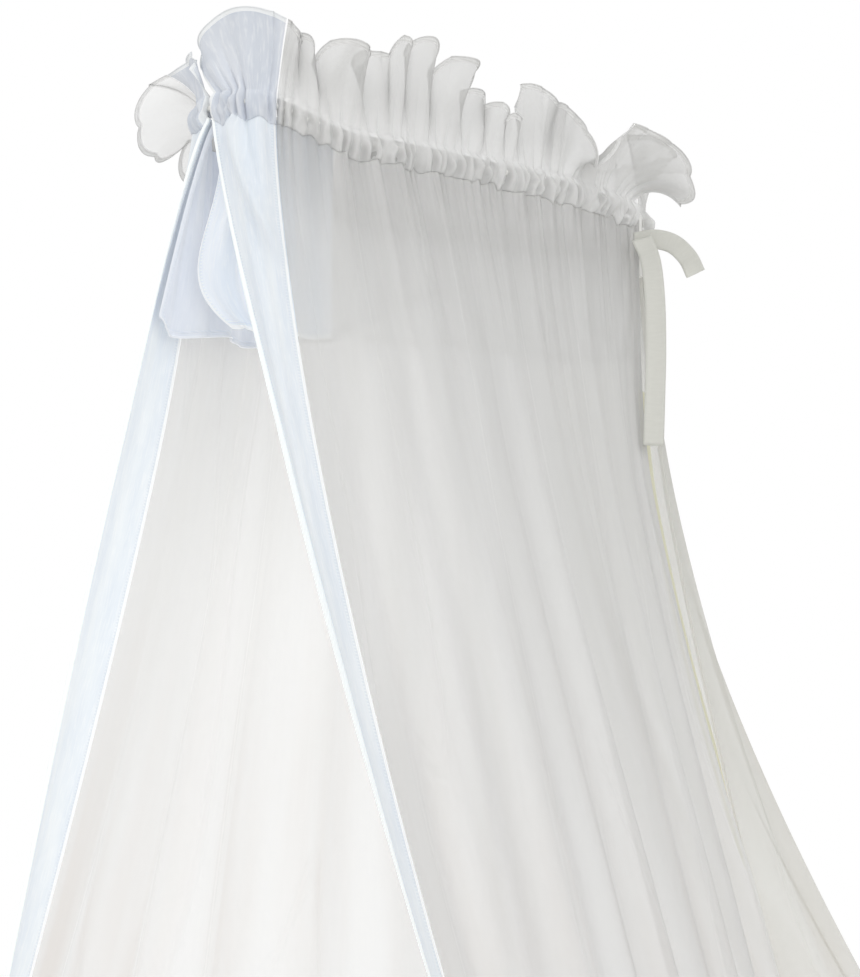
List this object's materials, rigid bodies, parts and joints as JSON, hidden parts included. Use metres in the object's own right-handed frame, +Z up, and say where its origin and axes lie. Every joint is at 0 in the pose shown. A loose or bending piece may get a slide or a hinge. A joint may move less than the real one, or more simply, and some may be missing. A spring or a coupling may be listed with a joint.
{
  "type": "mosquito net canopy on a hoop",
  "caption": "Sheer cot canopy gathered on an oval wire hoop, with a standing ruffle, an inner flounce, pale blue front bands and ribbon ties.",
  "frame": {"origin": "middle of the lower end face of the hoop's stem, at the top of the back slit", "axes": "+Z up along the stem, -Y towards the front opening, +Y towards the back, +X towards the side with the slit"},
  "size_m": [0.8529, 1.204, 1.6071],
  "materials": {
    "sheer_net": "sheer white voile net, matt",
    "blue_cotton": "light blue plain-weave cotton, matt",
    "ribbon": "off-white woven ribbon, soft sheen",
    "wire": "white paint, satin"
  },
  "bodies": {
    "root": {"hoop": "wire", "stem": "wire", "net": "sheer_net", "band_near": "blue_cotton", "band_far": "blue_cotton", "heading_near": "sheer_net", "heading_far": "sheer_net", "heading_end_near": "blue_cotton", "heading_end_far": "blue_cotton", "flounce_near": "sheer_net", "flounce_far": "sheer_net", "flounce_end_near": "blue_cotton", "flounce_end_far": "blue_cotton", "tie_arched": "ribbon", "tie_hanging": "ribbon"}
  },
  "joints": []
}
